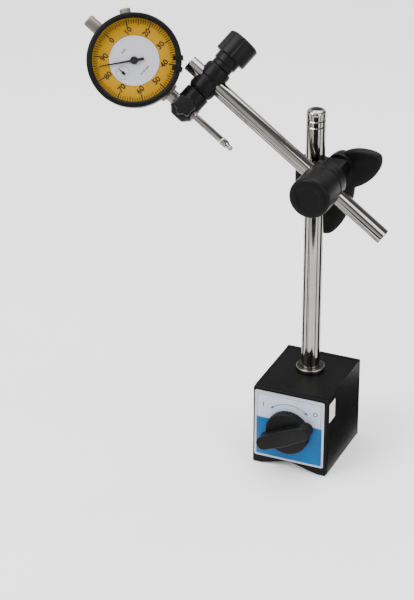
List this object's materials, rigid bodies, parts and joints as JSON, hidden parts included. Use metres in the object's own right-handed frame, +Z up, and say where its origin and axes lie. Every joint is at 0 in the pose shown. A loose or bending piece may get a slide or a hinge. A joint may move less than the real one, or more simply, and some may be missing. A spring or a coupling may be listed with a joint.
{
  "type": "dial indicator on magnetic base",
  "caption": "Dial indicator with a round yellow and white dial, held by an end clamp on a chrome arm rod and post over a switchable magnetic base block with a rotary knob.",
  "frame": {"origin": "middle of the magnetic base's resting plane, level with its two pads", "axes": "+Z up along the post, -Y out of the face with the rotary knob, and the arm rises towards -X"},
  "size_m": [0.194, 0.0827, 0.2896],
  "materials": {
    "black_paint": "satin black enamel",
    "black_plastic": "moulded black plastic",
    "chrome": "bright chrome plate",
    "nickel": "satin nickel plate",
    "steel": "ground steel",
    "magnet": "sintered magnet",
    "pole_iron": "iron, satin black enamel",
    "aluminium": "plain aluminium",
    "label": "printed aluminium label, pale top and blue below",
    "case_grey": "satin pearl grey",
    "dial_yellow": "printed yellow with black marks",
    "dial_white": "printed white with black marks",
    "glass": "clear crystal",
    "brass": "brass",
    "hand_black": "matt black"
  },
  "bodies": {
    "base": {"left_pole": "pole_iron", "right_pole": "pole_iron", "upper_spacer": "aluminium", "lower_spacer": "aluminium", "front_plate": "black_paint", "rear_plate": "black_paint", "label_plate": "label", "plate_screw_1": "steel", "plate_screw_2": "steel", "plate_screw_3": "steel", "plate_screw_4": "steel", "post": "chrome", "post_collar": "nickel"},
    "magnet": {"magnet_rotor": "magnet", "rotor_shaft": "steel", "rotary_knob": "black_plastic", "knob_screw": "steel"},
    "bush": {"post_bush": "nickel"},
    "lug": {"post_lug": "black_paint"},
    "drum": {"rod_drum": "black_paint", "clamp_cheek": "black_paint", "eye_bolt": "nickel"},
    "wing": {"wing_knob": "black_plastic", "wing_washer": "nickel"},
    "rod": {"arm_rod": "chrome"},
    "end_block": {"end_clamp_block": "black_paint"},
    "end_knob": {"end_knob": "black_plastic", "end_clamp_screw": "nickel"},
    "carrier": {"indicator_carrier": "black_paint", "carrier_pivot": "nickel"},
    "thumb": {"stem_thumb_screw": "black_plastic"},
    "indicator": {"case": "case_grey", "back_cover": "case_grey", "back_screw_1": "steel", "back_screw_2": "steel", "back_screw_3": "steel", "back_screw_4": "steel", "stem": "chrome", "spindle_cap": "case_grey", "movement_plate": "brass", "centre_dial": "dial_white", "return_spring": "steel"},
    "bezel": {"bezel": "black_paint", "crystal": "glass", "dial_ring": "dial_yellow", "tolerance_marker_1": "black_paint", "tolerance_marker_2": "black_paint"},
    "bezel_screw": {"bezel_screw": "case_grey"},
    "spindle": {"spindle": "chrome", "contact_point": "chrome", "guide_pin": "steel"},
    "pointer": {"pointer": "hand_black", "centre_pinion": "brass"},
    "counter": {"revolution_pointer": "hand_black", "hairspring_gear": "brass"},
    "rack_gear": {"rack_pinion": "brass"}
  },
  "joints": [
    {"name": "magnet_switch", "type": "hinge", "parent": "base", "child": "magnet", "pos_m": [0, 0, 0.0285], "axis": [0, 1, 0], "range_deg": [0, 90]},
    {"name": "post_slide", "type": "slide", "parent": "base", "child": "bush", "axis": [0, 0, 1], "range_m": [-0.06, 0.02]},
    {"name": "post_swivel", "type": "hinge", "parent": "bush", "child": "lug", "pos_m": [0, 0.005, 0.194], "axis": [0, 0, 1], "range_deg": [-90, 90]},
    {"name": "arm_tilt", "type": "hinge", "parent": "lug", "child": "drum", "pos_m": [0.0115, 0.005, 0.194], "axis": [0, 1, 0], "range_deg": [-25, 25]},
    {"name": "wing_turn", "type": "hinge", "parent": "lug", "child": "wing", "pos_m": [0.0115, 0.005, 0.194], "axis": [0, 1, 0], "continuous": true},
    {"name": "arm_slide", "type": "slide", "parent": "drum", "child": "rod", "axis": [-0.809, 0, 0.5878], "range_m": [-0.02, 0.03]},
    {"name": "end_clamp_roll", "type": "hinge", "parent": "rod", "child": "end_block", "pos_m": [-0.06374, -0.01065, 0.24866], "axis": [-0.809, 0, 0.5878], "range_deg": [-60, 60]},
    {"name": "end_knob_turn", "type": "hinge", "parent": "end_block", "child": "end_knob", "pos_m": [-0.06374, -0.01065, 0.24866], "axis": [0.4815, 0.5736, 0.6627], "continuous": true},
    {"name": "carrier_turn", "type": "hinge", "parent": "end_block", "child": "carrier", "pos_m": [-0.07433, -0.02327, 0.23408], "axis": [0.4815, 0.5736, 0.6627], "range_deg": [-95, 95]},
    {"name": "thumb_screw_turn", "type": "hinge", "parent": "carrier", "child": "thumb", "pos_m": [-0.07433, -0.02327, 0.23408], "axis": [0.3371, -0.8192, 0.464], "continuous": true},
    {"name": "stem_turn", "type": "hinge", "parent": "carrier", "child": "indicator", "pos_m": [-0.07433, -0.02327, 0.23408], "axis": [-0.809, 0, 0.5878], "range_deg": [-20, 20]},
    {"name": "bezel_turn", "type": "hinge", "parent": "indicator", "child": "bezel", "pos_m": [-0.10507, -0.02917, 0.26153], "axis": [-0.3371, 0.8192, -0.464], "continuous": true},
    {"name": "bezel_screw_turn", "type": "hinge", "parent": "indicator", "child": "bezel_screw", "pos_m": [-0.11669, -0.01604, 0.28494], "axis": [-0.3563, 0.3452, 0.8683], "continuous": true},
    {"name": "spindle_slide", "type": "slide", "parent": "indicator", "child": "spindle", "axis": [-0.809, 0, 0.5878], "range_m": [0, 0.01], "stiffness_N_per_m": 60, "springref_m": -0.01},
    {"name": "pointer_turn", "type": "hinge", "parent": "indicator", "child": "pointer", "pos_m": [-0.10507, -0.02917, 0.26153], "axis": [-0.3371, 0.8192, -0.464], "range_deg": [0, 3600]},
    {"name": "counter_turn", "type": "hinge", "parent": "indicator", "child": "counter", "pos_m": [-0.10989, -0.0349, 0.2549], "axis": [-0.3371, 0.8192, -0.464], "range_deg": [-360, 0]},
    {"name": "rack_gear_turn", "type": "hinge", "parent": "indicator", "child": "rack_gear", "pos_m": [-0.11437, -0.03128, 0.26454], "axis": [-0.3371, 0.8192, -0.464], "range_deg": [-360, 0]}
  ],
  "couplings": [
    {"joint": "pointer_turn", "follows": "spindle_slide", "rad_per_m": 6283.2},
    {"joint": "counter_turn", "follows": "spindle_slide", "rad_per_m": -628.32},
    {"joint": "rack_gear_turn", "follows": "spindle_slide", "rad_per_m": -628.32}
  ]
}
